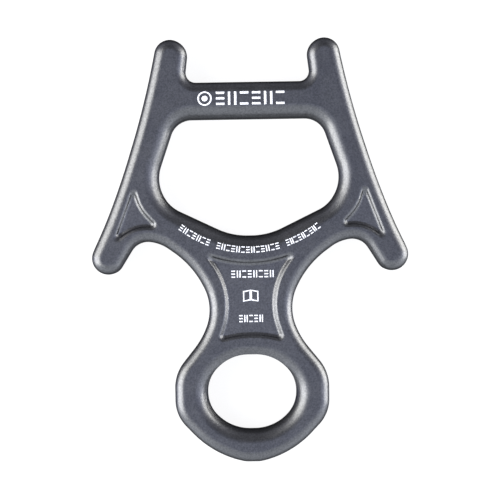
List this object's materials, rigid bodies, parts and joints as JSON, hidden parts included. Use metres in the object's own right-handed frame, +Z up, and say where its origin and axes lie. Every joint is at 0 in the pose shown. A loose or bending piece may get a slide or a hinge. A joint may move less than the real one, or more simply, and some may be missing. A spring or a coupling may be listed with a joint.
{
  "type": "rope descender",
  "caption": "Flat forged figure-of-eight rope descender with a large rope eye, a small connector eye, two upper and two lower horns, and shallow pockets on both faces.",
  "frame": {"origin": "bottom centre of the bounding box: on the surface that the plate lies on, under the middle of its length and width", "axes": "+Z up through the plate's thickness, +Y along the plate from the small connector eye to the large rope eye and the upper horns, +X across the plate to the right"},
  "size_m": [0.1196, 0.1599, 0.013],
  "materials": {
    "anodised_alloy": "bead-blasted and hard-anodised dark grey, satin",
    "white_print": "thin white printed film, matt"
  },
  "bodies": {
    "root": {"forged_body": "anodised_alloy", "maker_mark_print": "white_print", "model_mark_print": "white_print", "rope_size_print": "white_print", "standard_mark_print": "white_print", "strength_rating_print": "white_print", "read_manual_symbol_print": "white_print", "date_print": "white_print"}
  },
  "joints": []
}
